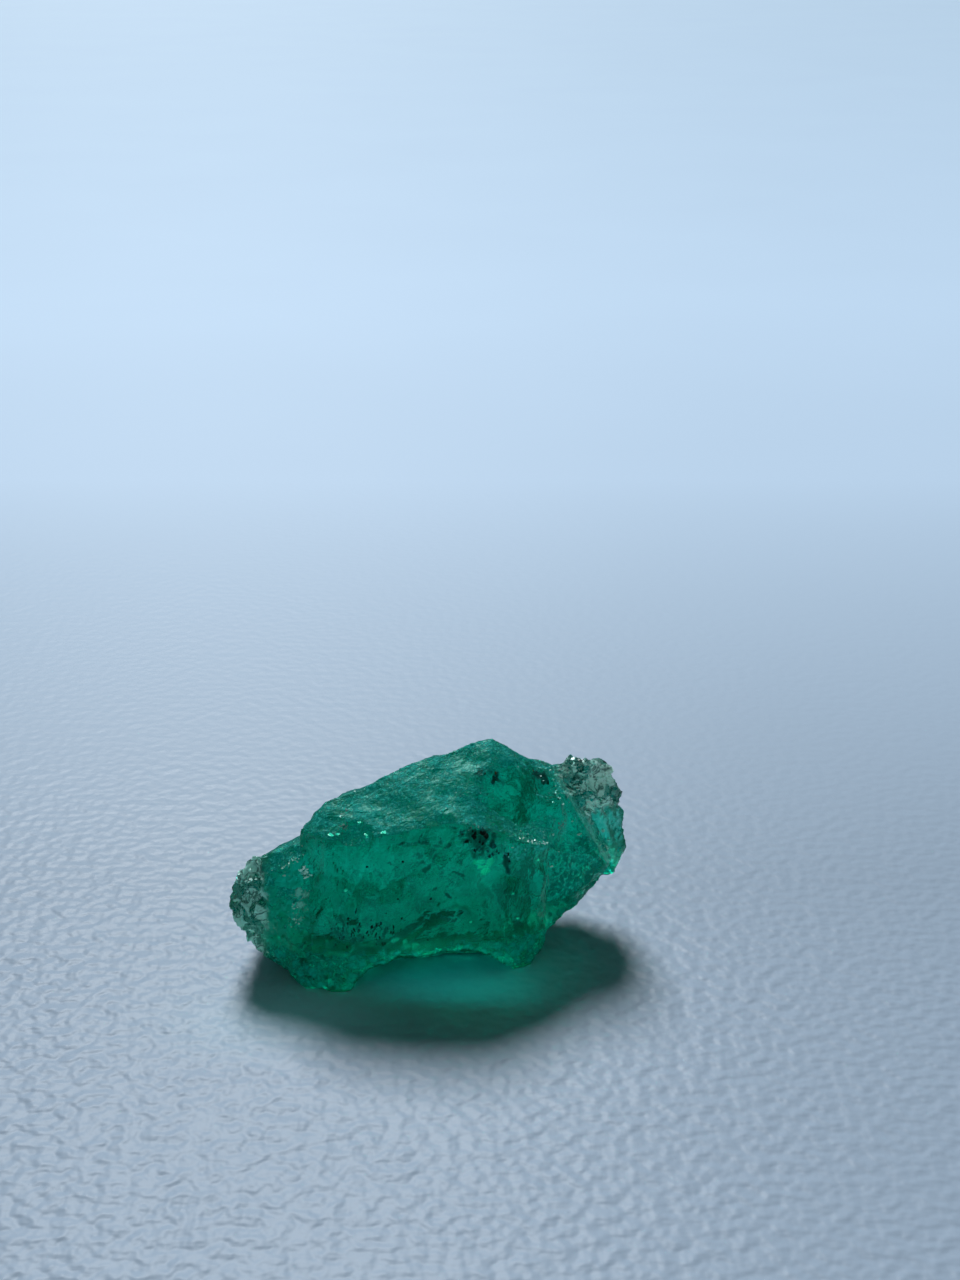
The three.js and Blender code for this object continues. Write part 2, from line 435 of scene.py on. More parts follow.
# Middle in mm, reach in mm and strength of the smoky patches sealed under the skin.
SMUDGES = (
    (2.40, -2.80, 6.30, 0.80, 1.0), (1.60, -2.95, 6.72, 0.60, 0.85), (2.00, -2.90, 6.00, 0.55, 0.75),
    (2.90, -2.77, 5.90, 0.40, 0.65), (3.38, -2.75, 5.20, 0.32, 0.7), (1.15, -2.98, 6.85, 0.5, 0.5),
    (2.30, -0.35, 8.40, 0.50, 0.6), (2.95, -0.30, 8.15, 0.60, 0.7), (4.90, 0.90, 7.55, 0.50, 0.8),
    (0.00, -3.30, 6.10, 1.20, 0.42), (-1.0, -3.30, 6.30, 0.80, 0.40), (1.00, -3.20, 5.20, 0.90, 0.34),
    (-0.5, -3.60, 4.40, 0.90, 0.34), (-2.7, -3.40, 5.20, 0.80, 0.32), (4.90, -2.20, 4.40, 1.10, 0.12),
    (-3.4, -4.00, 2.60, 1.10, 0.55), (-2.2, -4.00, 2.50, 0.90, 0.50), (-4.2, -4.40, 1.90, 0.90, 0.50),
    (-4.6, -4.60, 0.90, 0.80, 0.50), (-6.9, -3.20, 3.00, 0.60, 0.30), (1.60, -3.60, 1.60, 1.00, 0.12),
    (-5.3, -4.40, 1.20, 0.80, 0.55), (-4.1, -4.70, 0.60, 0.80, 0.60), (-3.2, -4.70, 0.80, 0.80, 0.45),
    (3.20, -3.60, 0.90, 0.80, 0.42), (4.20, -3.30, 0.80, 0.70, 0.42), (-5.8, -4.00, 2.20, 0.70, 0.40),
)
# Ends in mm and half width in mm of the dark cracks that wander under the front face.
CRACKS = (
    ((0.89, -3.10, 6.27), (0.25, -3.26, 5.87), 0.11), ((0.25, -3.26, 5.87), (-0.19, -3.44, 5.28), 0.10),
    ((-1.25, -3.30, 6.43), (-0.18, -3.17, 6.50), 0.08), ((-0.18, -3.17, 6.50), (0.46, -3.19, 6.00), 0.09),
    ((3.33, -2.75, 5.65), (3.45, -2.74, 4.70), 0.10), ((-1.90, -3.40, 5.70), (-1.10, -3.50, 5.10), 0.06),
    ((-2.60, -3.30, 6.10), (-1.60, -3.40, 5.60), 0.06), ((0.80, -3.40, 5.20), (1.60, -3.20, 4.90), 0.06),
    ((0.10, -3.50, 4.60), (0.90, -3.50, 3.90), 0.07), ((-2.9, -3.50, 4.30), (-2.30, -3.60, 3.70), 0.06),
)


def smudge_share(point):
    """How much smoke and how many cracks lie under the skin at a point, from 0 to 1."""
    dark = 0.0
    for x, y, z, reach, strength in SMUDGES:
        gap = (point - Vector((x, y, z))).length / reach
        if gap < 1:
            dark = max(dark, strength * (1 - gap ** 3))
    bent = point + noise.noise_vector(point / 0.45) * 0.16
    for start, end, width in CRACKS:
        first = Vector(start)
        run = Vector(end) - first
        share = min(max((bent - first).dot(run) / run.length_squared, 0.0), 1.0)
        gap = (bent - first - run * share).length / width
        if gap < 1.4:
            dark = max(dark, 0.95 * (1 - ramp(gap, 0.5, 1.4)))
    return dark


def crust_kind(point, normal):
    """Cover of the crust on the skin at a point, from 0 to 1, and its colour there."""
    knob, left, side = knob_share(point), left_share(point), crease_side(point)
    distances, _ = noise.voronoi(point / 0.45)
    lump = ramp(distances[1] - distances[0], 0.04, 0.3)
    streak = ramp(noise.noise(stretched(point, (0.2, 0.3, 0.8))), -0.35, 0.35)
    along = Vector((point.x * 0.95 + point.z * 0.3, point.y * 1.7, (point.z * 0.95 - point.x * 0.3) * 1.7))
    dash = ramp(noise.noise(along / 0.5), -0.3, 0.4)
    crease = (1 - ramp(abs(side - 0.12), 0.06, 0.16)) * ramp(point.z, 2.6, 3.4) * ramp(-normal.y, 0.0, 0.3)
    shade = ramp(point.x, 4.4, 5.6) * (1 - ramp(side, -0.2, 0.1)) * (1 - ramp(point.z, 4.9, 5.5))
    shade *= ramp(-normal.y, 0.1, 0.4)
    ahead = 1 - ramp(point.y, -2.2, -1.2)
    # Painted shade: a dark band on the faces that look down, low on the front of the stone, under the arch.
    rim = ramp(-normal.z, 0.0, 0.3) * band(point.z, *ARCH_SHADE_Z) * (1 - left) * ahead
    aside = point.x + 5.6 + 0.5 * noise.noise(point / 0.5)
    blot = ahead * (1 - (aside / 0.5) ** 2 - ((point.z - 3.8) / 1.1) ** 2 + 0.4 * (lump - 0.5))
    # Painted shade: a dark band on the faces that slope up and away from the front, seen edge-on along the
    # upper outline.
    edge_on_shade = band(normal.y, -0.02, 0.22, 0.35, 0.6) * ramp(normal.z, 0.1, 0.4)
    foot = (0.0, 0.22 + 0.18 * lump, 0.19 + 0.16 * lump, 0.1)
    # The fourth value of a colour is how strongly the crust is speckled there; the pale specks are partly the
    # etched crust and partly painted glints.
    kinds = ((knob * (0.20 + 0.32 * lump), (0.76, 1.0, 0.93, 0.1)),
             (left * (0.12 + 0.34 * streak + 0.10 * lump), (0.58, 1.0, 0.93, 0.2)),
             (ledge_share(point) * (0.32 + 0.18 * lump), (0.03, 0.54, 0.48, 0.9)),
             # painted shade along the upper outline
             (edge_on_shade * 0.64, (0.0, 0.20, 0.18, 0.2)),
             (top_share(point, normal) * (0.42 + 0.10 * dash), (0.0, 0.38, 0.35, 1.0)),
             (crease * 0.55, (0.24, 0.80, 0.70, 0.4)),
             (low_share(point) * (0.41 + 0.04 * ahead + 0.12 * lump), foot),
             (shade * (0.42 + 0.10 * lump), (0.0, 0.18, 0.15, 0.0)),
             # painted shade under the arch
             (rim * 0.60, (0.0, 0.08, 0.065, 0.0)),
             (blot * 0.56, (0.22, 0.68, 0.60, 0.4)),
             (0.05, (0.02, 0.6, 0.5, 0.0)))
    return max(kinds, key=lambda kind: kind[0])


def crust_material():
    """A crust that covers only where it is thick enough, speckled with pale specks that are partly painted
    glints, chipped and seamed.
    """
    material, tree, shader, _ = new_material("pale_crust")
    place = object_place(tree)
    pale = layer_value(tree, "pale")
    tone = add_node(tree, "ShaderNodeAttribute", attribute_name="tone").outputs
    fine = wander(tree, place, 5200.0, 4.0, roughness=0.6, distortion=0.6)
    level = maths(tree, "MULTIPLY_ADD", wander(tree, place, 1100.0, 3.0), 0.55, fine)
    alpha = spread(tree, maths(tree, "ADD", level, layer_value(tree, "cover")), 1.10, 1.36)
    # Pale specks: partly the frosted crust and partly painted glints of light on its etched facets.
    fleck = spread(tree, fine, 0.58, 0.70)
    blotch = wander(tree, place, 5200.0, 3.0, roughness=0.6, distortion=0.4)
    speckle = maths(tree, "MAXIMUM", fleck, spread(tree, blotch, 0.54, 0.64, last=0.7))
    speckled = maths(tree, "MULTIPLY", speckle, tone["Alpha"])
    crust = mix_colour(tree, speckled, tone["Color"], colour((0.06, 0.76, 0.67)))

    # Broken facets of the pale ends: some pale, some deep green and almost clear.
    swirl = add_node(tree, "ShaderNodeTexNoise", {"Vector": place, "Scale": 1900.0, "Detail": 3.0})
    push = {0: swirl.outputs["Color"], 1: (0.0005, 0.0005, 0.0008), 2: place}
    pushed = add_node(tree, "ShaderNodeVectorMath", push, operation="MULTIPLY_ADD").outputs[0]
    chips = add_node(tree, "ShaderNodeTexVoronoi", {"Vector": pushed, "Scale": 2000.0}).outputs["Color"]
    chip = add_node(tree, "ShaderNodeSeparateColor", {0: chips}).outputs["Red"]
    paleness = spread(tree, chip, 0.28, 0.54)
    deep = maths(tree, "MULTIPLY", maths(tree, "SUBTRACT", 1.0, paleness), pale)
    crust = mix_colour(tree, deep, crust, colour((0.02, 0.31, 0.27)))
    thick = maths(tree, "MULTIPLY_ADD", paleness, 0.5, 0.42)
    alpha = maths(tree, "MAXIMUM", alpha, maths(tree, "MULTIPLY", thick, pale))

    # Dark wandering seams between the pale lumps, and smoke in ragged puffs.
    veins = wander(tree, place, 1150.0, 4.0, roughness=0.55, distortion=0.8)
    rift = maths(tree, "ABSOLUTE", maths(tree, "SUBTRACT", veins, 0.5))
    seam = maths(tree, "MULTIPLY", spread(tree, rift, 0.040, 0.006, last=0.85), pale)
    puffs = wander(tree, place, 2600.0, 5.0, roughness=0.6, distortion=0.5)
    smoke = maths(tree, "MULTIPLY_ADD", layer_value(tree, "smudge"), 0.35, puffs)
    dark = maths(tree, "MAXIMUM", spread(tree, smoke, 0.64, 0.82, last=0.9), seam)
    base = mix_colour(tree, dark, crust, colour((0.0, 0.045, 0.034)))
    feed(tree, shader, {"Base Color": base, "Alpha": maths(tree, "MAXIMUM", alpha, dark), "Roughness": 0.85,
                        "IOR": 1.3, "Transmission Weight": 0.5, "Specular Tint": (0.1, 1.0, 0.9, 1.0)})
    return material


def base_shade_material():
    """A painted shade: the dark, uneven film on which the stone rests, which keeps light from showing through
    its base.
    """
    material, tree, shader, _ = new_material("base_shade_film")
    place = object_place(tree)
    base = two_tone(tree, place, 1800.0, 4.0, 0.0, 1.0, (0.002, 0.08, 0.055), (0.01, 0.40, 0.30))
    alpha = spread(tree, wander(tree, place, 1300.0, 3.0), 0.38, 0.46)
    feed(tree, shader, {"Base Color": base, "Alpha": alpha, "Roughness": 0.8, "Specular IOR Level": 0.1})
    return material


def sheet_from_skin(name, choose, lift, kinds=None):
    """A sheet over the chosen part of the skin, lifted off it in mm, with the kind of crust at its points."""
    body = bpy.data.objects["emerald_body"].data
    normals = [Vector(normal.vector) for normal in body.vertex_normals]
    faces = [tuple(face.vertices) for face in body.polygons if choose(face)]
    used = sorted({index for face in faces for index in face})
    number = {index: count for count, index in enumerate(used)}
    mesh = bpy.data.meshes.new(name)
    mesh.from_pydata([body.vertices[index].co / MM + normals[index] * lift for index in used], [],
                     [tuple(number[index] for index in face) for face in faces])
    if kinds:
        layers = mesh.attributes
        for layer in ("cover", "pale", "smudge"):
            layers.new(layer, "FLOAT", "POINT")
        layers.new("tone", "FLOAT_COLOR", "POINT")
        for count, index in enumerate(used):
            point = body.vertices[index].co / MM
            cover, tone, smudge = kinds[index]
            layers["cover"].data[count].value = cover
            layers["tone"].data[count].color = tone
            layers["pale"].data[count].value = max(knob_share(point), left_share(point))
            layers["smudge"].data[count].value = smudge
    return new_object(name, mesh)


class EMERALD_OT_crust(bpy.types.Operator):
    """Lays the thin pale crust over the etched parts of the skin, and the dark film of painted shade under
    the stone
    """
    bl_idname = "emerald.crust"
    bl_label = "Pale crust"

    def execute(self, context):
        body = bpy.data.objects["emerald_body"].data
        normals = [Vector(normal.vector) for normal in body.vertex_normals]
        kinds = [(*crust_kind(vertex.co / MM, normal), smudge_share(vertex.co / MM))
                 for vertex, normal in zip(body.vertices, normals)]

        def crusted(face):
            shown = any(kinds[index][0] > LEAST_COVER or kinds[index][2] > LEAST_SMOKE
                        for index in face.vertices)
            return shown and face.center.z > CRUST_FOOT * MM

        def resting(face):
            return face.center.z < FILM_TOP * MM and face.normal.z < -0.5

        deliver(sheet_from_skin("pale_crust", crusted, CRUST_LIFT, kinds), crust_material())
        # The base film is painted shade: a dark sheet on the resting face that keeps light from showing
        # through the base.
        deliver(sheet_from_skin("base_film", resting, -FILM_DEPTH), base_shade_material())
        return {"FINISHED"}


# ---- shapes that are strewn over the skin

# How far outside the stone a search for its skin starts, in mm.
CLEARANCE = 1.0
# A shape's random spin is up to this, in radians: about a full turn.
FULL_SPIN = 6.3


def take_shape(piece):
    """The points and faces of a shaped piece, which is then put away."""
    points = [vertex.co.copy() for vertex in piece.data.vertices]
    faces = [tuple(face.vertices) for face in piece.data.polygons]
    mesh = piece.data
    bpy.data.objects.remove(piece)
    bpy.data.meshes.remove(mesh)
    return points, faces


def roughened(unevenness, seed, size):
    """The active primitive with its points shaken and its sides brought to size."""
    piece = bpy.context.object
    bpy.ops.object.mode_set(mode="EDIT")
    bpy.ops.mesh.select_all(action="SELECT")
    bpy.ops.transform.vertex_random(offset=unevenness, uniform=1.0, seed=seed, wait_for_input=False)
    bpy.ops.transform.resize(value=size, center_override=(0, 0, 0))
    bpy.ops.object.mode_set(mode="OBJECT")
    return take_shape(piece)


def shaped_grain(seed):
    """A small irregular lump of twenty faces."""
    bpy.ops.object.select_all(action="DESELECT")
    bpy.ops.mesh.primitive_ico_sphere_add(subdivisions=1, radius=0.5)
    return roughened(0.13, seed, (1.0, 0.8, 1.0))


def shaped_flake(seed, sides):
    """A thin plate with an uneven rim."""
    bpy.ops.object.select_all(action="DESELECT")
    bpy.ops.mesh.primitive_cylinder_add(vertices=sides, radius=0.5, depth=0.12)
    return roughened(0.09, seed, (1.0, 0.62, 1.0))


def join_shapes(name, placed):
    """One mesh of many shapes, each put in its place by a matrix."""
    points, faces = [], []
    for (shape_points, shape_faces), matrix in placed:
        start = len(points)
        points.extend(matrix @ point for point in shape_points)
        faces.extend(tuple(start + index for index in face) for face in shape_faces)
    mesh = bpy.data.meshes.new(name)
    mesh.from_pydata(points, [], faces)
    return new_object(name, mesh)


def skin_tree():
    """The skin of the stone in mm, ready to be searched for its nearest point or its first hit."""
    body = bpy.data.objects["emerald_body"].data
    return BVHTree.FromPolygons([vertex.co / MM for vertex in body.vertices],
                                [tuple(face.vertices) for face in body.polygons])


def strewn(dice, tree, middle, reach, count, tightness):
    """Yields spots of the skin and their normals, thick at the middle of a patch and thin at its reach."""
    for _ in range(count):
        spot = Vector([dice.gauss(place, wide * tightness) for place, wide in zip(middle, reach)])
        yield tree.find_nearest(spot)[:2]


def mostly_small(dice, smallest, largest):
    """A random width, more often near the smallest."""
    return smallest + (largest - smallest) * dice.random() ** 2


def shaken(dice, size):
    """A small random direction."""
    return Vector([dice.uniform(-size, size) for _ in range(3)])


def sunk(spot, normal, depth):
    """The place under a spot of the skin, at a depth in mm."""
    return Matrix.Translation(spot - normal * depth)


def spun_on(normal, dice):
    """A turn that stands a shape's Z axis on a normal, with a random spin about it."""
    spin = Matrix.Rotation(dice.random() * FULL_SPIN, 4, "Z")
    return normal.to_track_quat("Z", "Y").to_matrix().to_4x4() @ spin


def upright_on(normal, lean):
    """A turn that lays a shape flat against the skin, its Z axis upright and leaning to the right."""
    side = Vector((0, 0, 1)).cross(normal)
    side = side.normalized() if side.length > 0.1 else Vector((1, 0, 0))
    up = normal.cross(side)
    turn = Matrix((side, normal * -1, up)).transposed().to_4x4()
    return turn @ Matrix.Rotation(math.radians(lean), 4, "Y")


def sized(width, depth, height):
    """Brings a shape of one unit to its size."""
    return Matrix.Diagonal((width, depth, height, 1.0))


# ---- dark grains

# Place on the skin in mm, width and height in mm, and lean to the right of upright in degrees.
BLACK_GRAINS = (
    (2.36, -2.70, 6.83, 0.34, 0.62, 8), (2.70, -2.77, 6.13, 0.42, 0.42, 0),
    (1.71, -2.97, 6.58, 0.26, 0.60, 50), (1.37, -2.98, 6.89, 0.24, 0.22, 0),
    (2.06, -2.94, 6.13, 0.30, 0.34, -20), (2.30, -2.85, 6.40, 0.22, 0.36, 30),
    (1.95, -2.90, 6.80, 0.18, 0.24, 0), (2.55, -2.75, 5.75, 0.20, 0.30, -35),
    (3.33, -2.75, 5.50, 0.22, 0.40, -6), (3.39, -2.75, 5.20, 0.17, 0.46, -6),
    (3.45, -2.74, 4.86, 0.10, 0.44, -8), (2.95, -2.75, 5.80, 0.18, 0.20, 0),
)
OLIVE_GRAINS = (
    (2.23, -0.34, 8.44, 0.34, 0.26, 60), (2.85, -0.40, 8.08, 0.30, 0.34, 20),
    (3.02, -0.14, 8.24, 0.22, 0.26, -20), (4.92, 0.97, 7.58, 0.46, 0.30, 40),
    (5.05, 0.78, 7.42, 0.34, 0.40, 10), (4.60, 1.05, 7.65, 0.26, 0.24, 0),
)
LUMPS_PER_GRAIN = 4
# Place on the skin and width in mm.
FRONT_SPECKS = (
    (-1.13, -3.39, 5.65, 0.16), (0.06, -3.55, 3.91, 0.16), (-1.36, -3.77, 4.04, 0.12),
    (-2.68, -3.47, 5.45, 0.15), (-1.20, -3.87, 3.10, 0.12), (-0.08, -3.89, 2.05, 0.13),
    (0.74, -3.69, 1.22, 0.12), (2.63, -3.38, 0.61, 0.10), (-5.02, -4.70, 0.64, 0.12),
    (-3.72, -4.70, 0.64, 0.13),
)
# At most this many needles lie in the smoke at the lower left of the front.
NEEDLES = 46


def grain_material(name, dark, light, roughness):
    """Fine mineral grains between a dark and a light tone."""
    material, tree, shader, _ = new_material(name)
    tone = two_tone(tree, object_place(tree), 6000.0, 3.0, 0.35, 0.65, dark, light)
    feed(tree, shader, {"Base Color": tone, "Roughness": roughness, "Specular IOR Level": 0.08,
                        "Specular Tint": (0.1, 1.0, 0.9, 1.0)})
    return material


class EMERALD_OT_dark_grains(bpy.types.Operator):
    """Sets the black and olive mineral grains into the crystal's skin"""
    bl_idname = "emerald.dark_grains"
    bl_label = "Dark grains"

    def execute(self, context):
        dice = random.Random(11)
        tree = skin_tree()
        lumps = [shaped_grain(seed) for seed in (1, 2, 3, 4)]
        groups = (("black_grains", BLACK_GRAINS, (0.002, 0.006, 0.005), (0.006, 0.016, 0.012)),
                  ("olive_grains", OLIVE_GRAINS, (0.008, 0.020, 0.006), (0.05, 0.06, 0.03)))
        for name, grains, dark, light in groups:
            placed = []
            for x, y, z, width, height, lean in grains:
                spot, normal, _, _ = tree.find_nearest(Vector((x, y, z)))
                turn = upright_on(normal, lean)
                for _ in range(LUMPS_PER_GRAIN):
                    shift = Vector((dice.uniform(-0.5, 0.5) * width, 0, dice.uniform(-0.5, 0.5) * height))
                    share = dice.uniform(0.42, 0.92)
                    middle = sunk(spot, normal, width * 0.2) @ turn @ Matrix.Translation(shift)
                    spin = Matrix.Rotation(dice.uniform(-0.6, 0.6), 4, "Y")
                    size = sized(width * share, width * 0.5, height * share)
                    placed.append((dice.choice(lumps), middle @ spin @ size))
            deliver(join_shapes(name, placed), grain_material(name, dark, light, 0.6))
        specks = grain_material("front_specks", (0.001, 0.012, 0.008), (0.003, 0.03, 0.02), 0.4)
        deliver(join_shapes("front_specks", self.specks(dice, tree, lumps)), specks)
        return {"FINISHED"}

    def specks(self, dice, tree, lumps):
        """Single specks on the front, and needles in the smoke at its lower left."""
        placed = []
        for x, y, z, width in FRONT_SPECKS:
            spot, normal, _, _ = tree.find_nearest(Vector((x, y, z)))
            middle = sunk(spot, normal, width * 0.2)
            placed.append((dice.choice(lumps), middle @ spun_on(normal, dice) @ sized(width, width, width)))
        for _ in range(NEEDLES):
            start = Vector((dice.uniform(-4.3, -1.4), LOW.y - CLEARANCE, dice.triangular(1.6, 3.6, 2.6)))
            spot, normal, _, _ = tree.ray_cast(start, Vector((0, 1, 0)))
            if spot is None:
                continue
            turn = upright_on(normal, dice.uniform(-25, 25))
            width = dice.uniform(0.05, 0.12)
            middle = sunk(spot, normal, width * 0.3)
            lump = dice.choice(lumps)
            placed.append((lump, middle @ turn @ sized(width, width, width * dice.uniform(1.5, 3.5))))
        return placed


# ---- bright flakes

# Place in mm, width in mm and depth under the skin in mm.
# Painted highlights: bright green flakes that glow with painted light, standing in for glints of light inside
# the stone and on its upper front edge.
VIVID_SPOTS = (
    (-1.94, -3.03, 6.86, 0.28, -0.03), (-2.05, -3.05, 6.80, 0.20, -0.03), (-3.00, -2.45, 7.05, 0.22, -0.02),
    (-2.68, -2.89, 6.70, 0.24, -0.02), (-2.62, -2.89, 6.58, 0.18, 0.0), (-4.24, -2.84, 6.60, 0.26, -0.03),
    (-3.95, -2.80, 6.60, 0.22, -0.02), (-3.60, -3.70, 4.44, 0.22, -0.02), (3.67, -2.98, 3.82, 0.18, 0.02),
    (3.86, -2.90, 2.51, 0.16, 0.02), (1.79, -3.30, 2.55, 0.20, 0.02), (4.77, -2.11, 5.02, 0.20, 0.02),
    (2.20, -2.95, 5.35, 0.62, 0.30), (2.42, -2.95, 4.90, 0.70, 0.34), (2.68, -2.95, 5.30, 0.60, 0.30),
    (2.38, -2.95, 5.12, 0.60, 0.26),
)
GLINT_SPOTS = (
    (5.32, -1.67, 4.47, 0.22, 0.0), (5.41, -1.10, 5.76, 0.18, 0.0), (6.62, -0.19, 5.27, 0.26, 0.0),
    (6.30, -0.06, 5.85, 0.14, 0.0), (6.39, 1.82, 8.01, 0.26, 0.0), (6.44, 1.71, 7.71, 0.26, 0.0),
    (4.92, 0.97, 7.60, 0.14, 0.0), (5.01, 0.80, 7.44, 0.12, 0.0), (-6.34, -2.92, 4.74, 0.24, 0.0),
    (-7.13, -3.50, 1.20, 0.18, 0.0), (3.93, -2.23, 6.18, 0.14, 0.0), (4.60, -1.95, 5.95, 0.14, 0.0),
    (7.90, 0.60, 4.10, 0.24, 0.0), (7.60, 0.35, 4.40, 0.22, 0.0), (1.70, -2.90, 6.95, 0.12, 0.0),
)
# Middle of a patch and its reach in mm, how many facets, their least and most width in mm, length for width.
PALE_FACETS = (
    ((6.6, 1.3, 7.3), (0.8, 0.9, 0.8), 160, 0.08, 0.40, 1.0),
    ((7.3, 0.9, 6.0), (0.5, 0.6, 0.3), 70, 0.06, 0.32, 1.0),
    ((7.9, 0.6, 4.1), (0.25, 0.4, 0.7), 30, 0.06, 0.24, 1.6),
    ((-7.9, -2.6, 4.5), (0.7, 0.7, 0.9), 110, 0.05, 0.17, 1.6),
    ((-7.6, -3.2, 2.6), (0.5, 0.5, 0.9), 50, 0.05, 0.15, 1.6),
    ((-6.2, -3.0, 5.6), (0.6, 0.5, 0.4), 40, 0.05, 0.14, 1.4),
    ((4.6, -1.9, 5.95), (1.4, 0.5, 0.3), 64, 0.07, 0.26, 1.0),
    ((-5.4, -2.9, 4.9), (0.15, 0.2, 0.25), 22, 0.12, 0.30, 1.0),
    ((-5.5, -3.3, 3.8), (0.3, 0.2, 0.7), 10, 0.06, 0.16, 1.2),
)
# The slope of a facet that throws the key light to a viewer in front: in air, and under the skin.
GLINT_NORMAL = Vector((-0.074, -0.126, 0.989))
VIVID_NORMAL = Vector((0.0, -0.25, 0.97))
# Colours of the flakes inside the stone, which are painted highlights, of those on its pale ends and of the
# frosted facets of its top.
VIVID_PAIR = ((0.0, 0.68, 0.44), (0.06, 0.98, 0.66))
PALE_PAIR = ((0.22, 0.70, 0.61), (0.76, 1.0, 0.94))
FROST_PAIR = ((0.0, 0.36, 0.32), (0.26, 0.88, 0.78))
# Strength of the painted glow of the flakes inside the stone, which give off light though they are no lamp.
PAINTED_GLOW = 0.2
# How often the top is searched for a place for a frosted facet, and where it is searched in mm.
FROST_TRIES = 2600
FROST_X = (-6.2, 6.2)
FROST_Y = (-3.4, 3.6)


def flake_material(name, pair, painted_glow=0.0):
    """Bright cleavage flakes between two tones, with a painted glow when its strength is above zero."""
    material, tree, shader, _ = new_material(name)
    tone = two_tone(tree, object_place(tree), 5000.0, 2.0, 0.3, 0.7, *pair)
    feed(tree, shader, {"Base Color": tone, "Roughness": 0.35})
    if painted_glow:
        feed(tree, shader, {"Emission Color": tone, "Emission Strength": painted_glow})
    return material


class EMERALD_OT_bright_flakes(bpy.types.Operator):
    """Sets the tiny cleavage flakes that sparkle on and just under the skin; the green ones are painted
    highlights with a painted glow
    """
    bl_idname = "emerald.bright_flakes"
    bl_label = "Bright flakes"

    def execute(self, context):
        dice = random.Random(23)
        tree = skin_tree()
        plates = [shaped_flake(seed, sides) for seed, sides in ((1, 5), (2, 6), (3, 7), (4, 5))]
        # The vivid flakes are painted highlights that glow with painted light; the glint flakes take the key
        # light on their own slope.
        groups = (("painted_glow_flakes", VIVID_SPOTS, VIVID_NORMAL, 0.25, VIVID_PAIR, PAINTED_GLOW),
                  ("glint_flakes", GLINT_SPOTS, GLINT_NORMAL, 0.04, PALE_PAIR, 0.0))
        for name, spots, slope, wobble, pair, painted_glow in groups:
            placed = []
            for x, y, z, width, depth in spots:
                spot, normal, _, _ = tree.find_nearest(Vector((x, y, z)))
                aim = slope + shaken(dice, wobble)
                turn = spun_on(aim.normalized(), dice)
                middle = sunk(spot, normal, depth)
                placed.append((dice.choice(plates), middle @ turn @ sized(width, width, width)))
            deliver(join_shapes(name, placed), flake_material(name, pair, painted_glow))
        pale = self.pale(dice, tree, plates)
        deliver(join_shapes("pale_facets", pale), flake_material("pale_facets", PALE_PAIR))
        frost = self.frost(random.Random(41), tree, plates)
        deliver(join_shapes("frost_facets", frost), flake_material("frost_facets", FROST_PAIR))
        return {"FINISHED"}

    def pale(self, dice, tree, plates):
        """Broken facets on the knob, the left end and the ledge."""
        placed = []
        for middle, reach, count, smallest, largest, length in PALE_FACETS:
            for spot, normal in strewn(dice, tree, middle, reach, count, 0.6):
                aim = normal * 0.6 + Vector((0, -0.02, 0.75)) + shaken(dice, 0.3)
                width = mostly_small(dice, smallest, largest)
                turn = spun_on(aim.normalized(), dice)
                size = sized(width, width * length, width)
                placed.append((dice.choice(plates), sunk(spot, normal, width * 0.15) @ turn @ size))
        return placed

    def frost(self, dice, tree, plates):
        """Small etched facets scattered over the top and the ledge."""
        placed = []
        for _ in range(FROST_TRIES):
            start = Vector((dice.uniform(*FROST_X), dice.uniform(*FROST_Y), HIGH.z + CLEARANCE))
            spot, normal, _, _ = tree.ray_cast(start, Vector((0, 0, -1)))
            if spot is None:
                continue
            if dice.random() > 0.6 * max(top_share(spot, normal), ledge_share(spot)):
                continue
            aim = normal * 0.8 + Vector((0, -0.05, 0.4)) + shaken(dice, 0.3)
            width = mostly_small(dice, 0.05, 0.17)
            turn = spun_on(aim.normalized(), dice)
            size = sized(width, width, width)
            placed.append((dice.choice(plates), sunk(spot, normal, width * 0.10) @ turn @ size))
        return placed


# ---- pale grains

# Middle of a patch and its reach in mm, how many grains, and their least and most width in mm.
PALE_GRAINS = (
    ((-5.42, -2.94, 4.9), (0.25, 0.3, 0.4), 17, 0.07, 0.22),
    ((-5.9, -3.66, 3.1), (0.35, 0.3, 0.7), 22, 0.05, 0.16),
    ((4.6, -1.9, 5.95), (1.3, 0.5, 0.25), 36, 0.05, 0.14),
    ((-6.9, -3.6, 0.9), (0.5, 0.3, 0.5), 14, 0.05, 0.14), ((7.2, 0.9, 5.9), (0.6, 0.4, 0.25), 30, 0.05, 0.15),
    ((8.0, 0.4, 3.8), (0.25, 0.3, 0.6), 17, 0.05, 0.15), ((-7.9, -2.6, 4.3), (0.8, 0.5, 0.8), 30, 0.04, 0.11),
    ((6.9, 1.6, 7.2), (0.8, 0.5, 0.9), 33, 0.04, 0.12),
)
PINK_GRAINS = (
    ((-3.72, -2.6, 6.85), (0.3, 0.4, 0.4), 20, 0.06, 0.16),
    ((-3.68, -1.91, 7.24), (0.28, 0.25, 0.2), 12, 0.06, 0.16),
    ((1.95, -2.75, 7.08), (0.45, 0.2, 0.12), 17, 0.05, 0.14),
    ((5.85, -0.55, 5.9), (0.3, 0.3, 0.25), 17, 0.05, 0.14),
)


